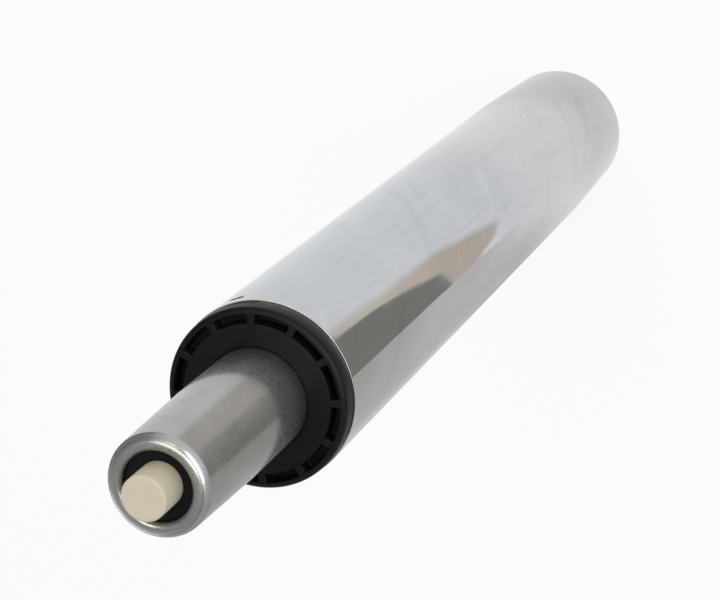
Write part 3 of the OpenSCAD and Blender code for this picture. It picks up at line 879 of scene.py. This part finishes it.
@dataclass
class PressureTube(SubAssembly):
    """Satin steel tube with its rolled crest, tapered neck and rolled foot, and what closes its foot."""

    wall: float = 2.0 * MM
    taper_length: float = 34.0 * MM
    taper_slope: float = 0.025
    crest: float = 2.7 * MM
    inner_crest: float = 1.5 * MM
    lip: float = 1.8 * MM
    recess_radius: float = 8.9 * MM
    foot_opening: float = 7.5 * MM
    groove: float = 0.15 * MM
    groove_turn: float = 60.0
    body = "tube"
    packed = ("inner_cylinder", "seal_washer", "rod_seal", "rod_guide", "stop_sleeve")

    def __post_init__(self) -> None:
        """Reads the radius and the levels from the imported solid."""
        self.radius, self.foot, self.top = reach("pressure_tube")
        self.neck = self.radius - self.taper_length * self.taper_slope
        self.taper_top = self.top - self.crest
        self.taper_foot = self.taper_top - self.taper_length

    def bore_at(self, level: float) -> float:
        """Inner radius at a level of the tapered neck."""
        return self.radius - self.wall - self.taper_slope * (min(level, self.taper_top) - self.taper_foot)

    def crest_arc(self) -> np.ndarray:
        """The crest's outer quarter circle, with a fine groove left by the rolling.

        The radius of the quarter circle drops by the depth of a circle of the groove's radius,
        centred on it.

        Returns:
            Points from the taper's top up to the crest.
        """
        over_groove = self.groove_turn + np.linspace(-4, 4, 17)
        turn = np.unique(np.concatenate([np.linspace(0, 90, 33), over_groove]))
        away = np.radians(turn - self.groove_turn) * self.crest / self.groove
        dip = self.groove * np.sqrt(np.clip(1 - away**2, 0, None))
        radius = self.crest - dip
        centre = np.array([self.neck - self.crest, self.taper_top])
        turn = np.radians(turn)
        return centre + radius[:, None] * np.stack([np.cos(turn), np.sin(turn)], axis=-1)

    def section(self) -> np.ndarray:
        """Section of the tube, anticlockwise from its foot's opening."""
        lip_foot = self.top - self.lip
        halfway = self.taper_length / 2
        crest = self.inner_crest
        return outline(
            (self.foot_opening, self.foot),
            arc((self.radius - self.wall, self.foot + self.wall), self.wall, -90, 0, 8),
            np.linspace((self.radius, self.foot + self.wall), (self.radius, self.taper_foot), 14)[1:],
            (self.radius - halfway * self.taper_slope, self.taper_foot + halfway),
            (self.neck + self.crest * self.taper_slope * 0.1, self.taper_top - self.crest * 0.1),
            self.crest_arc(),
            arc((self.recess_radius + crest, self.top - crest), crest, 90, 180, 14),
            (self.recess_radius, lip_foot),
            (self.bore_at(lip_foot), lip_foot),
            (self.bore_at(self.taper_foot), self.taper_foot),
            (self.radius - self.wall, self.foot + self.wall),
            (self.foot_opening, self.foot + self.wall),
        )

    def build(self) -> None:
        """The tube, turned from its section."""
        shell = swept(self.section(), even_turns(224))
        self.stand_for("pressure_tube", "tube_wall", shell, "tube_steel")


@dataclass
class ValveCap(SubAssembly):
    """Black cap that forms the recess round the button, and the valve below it."""

    tube: PressureTube
    depth: float = 2.5 * MM
    floor: float = 2.6 * MM
    seat_gap: float = 0.03 * MM
    button_gap: float = 0.06 * MM
    well_gap: float = 0.25 * MM
    button_radius: float = 5.8 * MM
    collar: float = 1.2 * MM
    body = "tube"
    packed = ("valve_body", "valve_body_rings", "pin_seal_rings", "gland_spacer", "gland_bush")

    def build(self) -> None:
        """The cap, turned from its section."""
        _, low, high = reach("valve_cap")
        floor = self.tube.top - self.depth
        ceiling = floor - self.floor
        hole = self.button_radius + self.button_gap
        well = self.button_radius + self.collar + self.well_gap
        soft = 0.25 * MM
        section = outline(
            (well, low),
            (self.tube.bore_at(low) - self.seat_gap, low),
            (self.tube.bore_at(high) - self.seat_gap, high),
            arc((self.tube.recess_radius + soft, high - soft), soft, 90, 180, 3),
            arc((self.tube.recess_radius - soft, floor + soft), soft, 0, -90, 3),
            arc((hole + soft, floor - soft), soft, 90, 180, 3),
            (hole, ceiling),
            (well, ceiling),
        )
        self.stand_for("valve_cap", "cap_moulding", swept(section, even_turns()), "black_moulding")


@dataclass
class ReleaseButton(SubAssembly):
    """Cream button with its collar, and the valve pin that it pushes."""

    radius: float = 5.8 * MM
    collar_height: float = 2.2 * MM
    edge: float = 0.8 * MM
    body = "button"
    packed = ("valve_pin",)

    def build(self) -> None:
        """The button, turned from its section, with a faint sink in the middle of its face."""
        collar, low, high = reach("release_button")
        soft = 0.3 * MM
        sink = 0.05 * MM
        ridge = self.radius - self.edge
        across = np.linspace(ridge, 0.0, 9)[1:]
        face = np.stack([across, high - sink * (1 - (across / ridge) ** 2)], axis=-1)
        section = outline(
            (0.0, low),
            arc((collar - soft, low + soft), soft, -90, 0, 3),
            arc((collar - soft, low + self.collar_height - soft), soft, 0, 90, 3),
            (self.radius, low + self.collar_height),
            (self.radius, (low + high) / 2),
            arc((ridge, high - self.edge), self.edge, 0, 90, 10),
            face,
        )
        shell = swept(section, even_turns(), is_closed=False)
        self.stand_for("release_button", "button_moulding", shell, "cream_plastic")


class Bearing(SubAssembly):
    """Balls and cage between the two races."""

    body = "cage"
    packed = ("ball_cage", "bearing_balls")


class Rod(SubAssembly):
    """Piston rod with all that it carries, from its clip to its piston."""

    body = "rod"
    packed = (
        "upper_bearing_race", "rubber_bumper", "bumper_washer", "clip_washer", "retaining_clip",
        "piston_rod", "piston_washer", "piston", "piston_seal", "piston_retainer",
    )


@dataclass
class Camera:
    """The photograph's viewing angle on the standing lift."""

    aim: tuple[float, float, float] = (0.55 * MM, 1.56 * MM, 233.87 * MM)
    distance: float = 658.58 * MM
    azimuth: float = -19.335
    elevation: float = 64.497
    roll: float = -131.188
    lens: float = 112.753
    sensor: float = 36.0

    def build(self) -> None:
        """Adds the camera, turned about its line of sight by the roll."""
        back = direction(self.azimuth, self.elevation)
        turn = back.to_track_quat("Z", "Y") @ Quaternion((0.0, 0.0, 1.0), math.radians(self.roll))
        data = bpy.data.cameras.new("photo_camera")
        data.lens = self.lens
        data.sensor_width = self.sensor
        data.clip_start, data.clip_end = 0.01, 100.0
        camera = bpy.data.objects.new("photo_camera", data)
        camera.matrix_world = Matrix.LocRotScale(Vector(self.aim) + back * self.distance, turn, None)
        bpy.context.scene.collection.objects.link(camera)
        bpy.context.scene.camera = camera


@dataclass
class Lamp:
    """A soft rectangular lamp, a metre from the point of the axis that it is aimed at.

    Its angle is counted from the camera's side and its elevation from the floor, both in degrees.
    """

    name: str
    angle: float
    elevation: float
    width: float
    height: float
    power: float
    colour: Colour
    aim: float = 0.36

    def build(self) -> None:
        """Adds the lamp to the scene."""
        light = bpy.data.lights.new(self.name, "AREA")
        light.shape = "RECTANGLE"
        light.size, light.size_y = self.width, self.height
        light.energy = self.power
        light.color = self.colour
        lamp = bpy.data.objects.new(self.name, light)
        away = direction(Camera.azimuth + self.angle, self.elevation)
        middle = Vector((0.0, 0.0, self.aim)) + away
        lamp.matrix_world = Matrix.LocRotScale(middle, away.to_track_quat("Z", "Y"), None)
        bpy.context.scene.collection.objects.link(lamp)


@dataclass
class Studio:
    """White floor, a room and a card of painted reflections that only shiny surfaces mirror, and soft
    lamps.

    The room is bright in front, dark at the left and grey at the right, seen from the camera. The
    angles of its parts are counted from the camera's side, and its radii from the axis in millimetres.
    """

    floor_radius: float = 8.0
    floor_tone: float = 0.92
    shadow_share: float = 0.14
    sky: float = 0.56
    walls: float = 0.56
    front_wall: float = 0.44
    left_wall: float = -0.34
    back_wall: float = 0.3
    overhead: float = 0.36
    skylight: float = 3.0
    # The card of painted reflections: its size, its level, and the tones, bands and edges painted on it
    card_radius: float = 3.0
    card_level: float = 1.5 * MM
    dark_left_edge: float = -57.0
    foot_tone: Colour = (0.765, 0.77, 0.775)
    rings: Bands = (
        (32, 50, (0.89, 0.90, 0.915)), (60, 100, (0.845, 0.87, 0.915)), (183, 189, (1.0, 0.995, 0.985)),
    )
    wall_tone: Colour = (0.65, 0.65, 0.64)
    side_wall: Bands = ((-72, -120, (0.565, 0.565, 0.56)),)
    far_wall_tone: Colour = (0.47, 0.47, 0.47)
    far_wall: Bands = ((78, 112, (0.64, 0.64, 0.64)),)
    close_tone: Colour = (0.50, 0.505, 0.475)
    warm_tone: Colour = (0.62, 0.545, 0.47)
    warm_rings: Bands = ((107, 167, (0.715, 0.665, 0.60)), (183, 189, (0.62, 0.58, 0.52)))
    dark_tone: Colour = (0.255, 0.245, 0.225)
    shade_tone: Colour = (0.225, 0.215, 0.2)
    shade_turns: Bands = ((-52, -6, (0.365, 0.344, 0.313)),)
    line_tone: Colour = (0.1, 0.1, 0.09)
    line_share: float = 0.5
    blotch_tone: Colour = (0.5, 0.5, 0.49)
    blotch_share: float = 0.12
    wave: float = 9.0
    beside_tube: tuple[float, float] = (183, 189)
    dark_edge: Line = (
        (120, -58), (124.5, -37), (137, -25), (150, -17.5), (164, -13), (176, -9), (184, -8), (188, -3),
        (300, -3),
    )
    warm_edge: Line = (
        (91, -33), (102, -23), (113, -19), (124.5, -11), (137, -10), (150, -7), (164, -2), (184, 2),
        (188, 46), (300, 46),
    )
    warm_left_edge: Line = ((90, -36), (94, -48), (102, -57), (300, -57))

    def disc(self, graph: Graph, radius: float, level: float) -> bpy.types.Object:
        """A flat disc that faces up and isn't sampled as a lamp, as rings of points about a pole.

        Args:
            graph: Node tree of its material, whose name it takes.
            radius: Its radius.
            level: Its height above the floor.

        Returns:
            The disc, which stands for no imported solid.
        """
        material = graph.owner
        material.cycles.emission_sampling = "NONE"
        section = outline(*[(share * radius, level) for share in (1, 0.5, 0.2, 0.08, 0)])
        shell = swept(section, even_turns(96), is_closed=False)
        piece = put_in_scene(material.name, shell, material)
        return piece

    def bearing(self, x: Wire, y: Wire) -> Wire:
        """Angle about the axis from the camera's side, in degrees from -180 to 180."""
        turn = math.radians(Camera.azimuth)
        ahead = x * math.cos(turn) + y * math.sin(turn)
        aside = y * math.cos(turn) - x * math.sin(turn)
        return aside.turn_from(ahead) * (180 / math.pi)

    def horizon(self, angle: Wire) -> Wire:
        """Brightness of the room's walls at an angle."""
        front = angle.ramp(-55, -20) * angle.ramp(75, 45)
        left = angle.ramp(62, 85) * angle.ramp(165, 140)
        back = 1 - angle.ramp(-172, -140) * angle.ramp(178, 160)
        return self.walls + self.front_wall * front + self.left_wall * left + self.back_wall * back

    def floor(self) -> None:
        """White floor that keeps a faint shadow and can't be seen from below."""
        graph = Graph(bpy.data.materials.new("stage_floor"))
        paper = graph.node("ShaderNodeBsdfDiffuse", inputs={"Color": (self.floor_tone,) * 3 + (1.0,)})
        white = graph.node("ShaderNodeEmission", inputs={"Strength": 1.0})
        share = graph.on_rays("Camera", "Glossy", "Transmission") * (1 - self.shadow_share)
        top = graph.node("ShaderNodeMixShader", inputs={0: share, 1: paper, 2: white})
        clear = graph.node("ShaderNodeBsdfTransparent")
        under = graph.node("ShaderNodeNewGeometry", output="Backfacing")
        graph.end(graph.node("ShaderNodeMixShader", inputs={0: under, 1: top, 2: clear}))
        self.disc(graph, self.floor_radius, 0.0)

    def surround(self) -> None:
        """White behind everything, the room's walls and ceiling in mirrors, and an even soft light."""
        world = bpy.data.worlds.new("stage_world")
        bpy.context.scene.world = world
        graph = Graph(world)
        around = self.bearing(graph.axis("X"), graph.axis("Y"))
        walls = self.horizon(around)
        ceiling = self.overhead + self.skylight * around.ramp(-70, -50) * around.ramp(15, -8)
        room = walls + graph.axis("Z").ramp(0.35, 0.85) * (ceiling - walls)
        strength = self.sky + graph.on_rays("Glossy") * (room - self.sky)
        strength = strength + graph.on_rays("Camera") * (1 - strength)
        graph.end(graph.node("ShaderNodeBackground", inputs={"Color": (1, 1, 1, 1), "Strength": strength}))

    def painted_reflection_card(self) -> None:
        """A glowing disc over the floor, painted with reflections, that the column and the tube mirror and
        nothing else sees.

        Near the foot the painted reflection is a pale grey with a dark streak, a warm one round the
        dark one's edge, and a greyer part to the right of both. Further out it takes the tones of the
        walls.
        """
        graph = Graph(bpy.data.materials.new("stage_room_floor"))
        x, y = graph.axis("X"), graph.axis("Y")
        blotch = graph.noise((55.0, 55.0, 1.0), detail=3.0, seed=2.9)
        angle = self.bearing(x, y)
        radius = (x * x + y * y).root() * (1 / MM)

        # Where the painted reflections lie
        left_of_line = angle.ramp(self.dark_left_edge - 0.6, self.dark_left_edge + 0.6)
        wave = (blotch - 0.5) * self.wave * radius.ramp(60, 100)
        past_dark = angle - radius.along(self.dark_edge)
        dark = left_of_line * (past_dark + wave).ramp(3, -3) * radius.ramp(118, 122)
        line = past_dark.ramp(-3, -0.5) * past_dark.ramp(2, 0)
        line = line * radius.ramp(132, 145) * radius.ramp(178, 169)
        warm = (angle + wave - radius.along(self.warm_edge)).ramp(7, -5) * radius.ramp(88, 94)
        warm = warm * (angle - radius.along(self.warm_left_edge)).ramp(-1.5, 1.5)
        hazy_left = angle.ramp(-90, -50)
        hazy_left = hazy_left + (left_of_line - hazy_left) * radius.ramp(70, 100)
        right = (1 - hazy_left) * angle.ramp(-179.9, -172) * (radius - (angle + 66) * 0.55).ramp(50, 98)
        close = angle.ramp(-130, self.dark_left_edge) * radius.ramp(112, 180)
        blotches = blotch.ramp(0.5, 0.72) * radius.ramp(185, 160)

        # Their tones, painted reflections laid one over the other
        far_wall = graph.banded(radius, self.far_wall_tone, self.far_wall)
        wall = graph.banded(angle, self.wall_tone, self.side_wall)
        wall = graph.mix(close, graph.mix(angle.ramp(-120, -142), wall, far_wall), self.close_tone)
        shadow = graph.banded(angle, self.shade_tone, self.shade_turns)
        shadow = graph.mix(radius.ramp(*self.beside_tube), self.dark_tone, shadow)
        tone = graph.mix(right, graph.banded(radius, self.foot_tone, self.rings), wall)
        tone = graph.mix(warm, tone, graph.banded(radius, self.warm_tone, self.warm_rings))
        tone = graph.mix(dark, tone, shadow)
        tone = graph.mix(line * dark * self.line_share, tone, self.line_tone)
        tone = graph.mix(blotches * self.blotch_share, tone, self.blotch_tone)
        grey = dict.fromkeys(range(3), self.horizon(angle))
        tone = graph.mix(radius.ramp(310, 480), tone, graph.node("ShaderNodeCombineColor", inputs=grey))
        graph.end(graph.node("ShaderNodeEmission", inputs={"Color": tone, "Strength": 1.0}))
        piece = self.disc(graph, self.card_radius, self.card_level)
        piece.visible_camera = piece.visible_diffuse = piece.visible_transmission = False
        piece.visible_shadow = piece.visible_volume_scatter = False

    def build(self) -> None:
        """Sets up the whole studio."""
        self.floor()
        self.surround()
        self.painted_reflection_card()
        Lamp("window", angle=-18.0, elevation=37.0, width=1.0, height=0.46, power=3.2,
             colour=(0.93, 0.97, 1.0)).build()
        Lamp("ceiling_lamp", angle=58.0, elevation=64.0, width=0.64, height=0.76, power=3.8,
             colour=(1.0, 0.95, 0.85)).build()
        bpy.context.scene.view_settings.view_transform = "Standard"
        LOG.info("studio: floor, room and lamps")


def main() -> None:
    """Builds and dresses every group in order, then the camera and the studio."""
    logging.basicConfig(level=logging.INFO, format="%(name)s: %(message)s")
    column = Column()
    tube = PressureTube()
    for group in (column, GuideSleeve(column), Bearing(), Rod(), tube, ValveCap(tube), ReleaseButton()):
        group.build()
        group.dress()
    Camera().build()
    Studio().build()


if __name__ == "__main__":
    main()
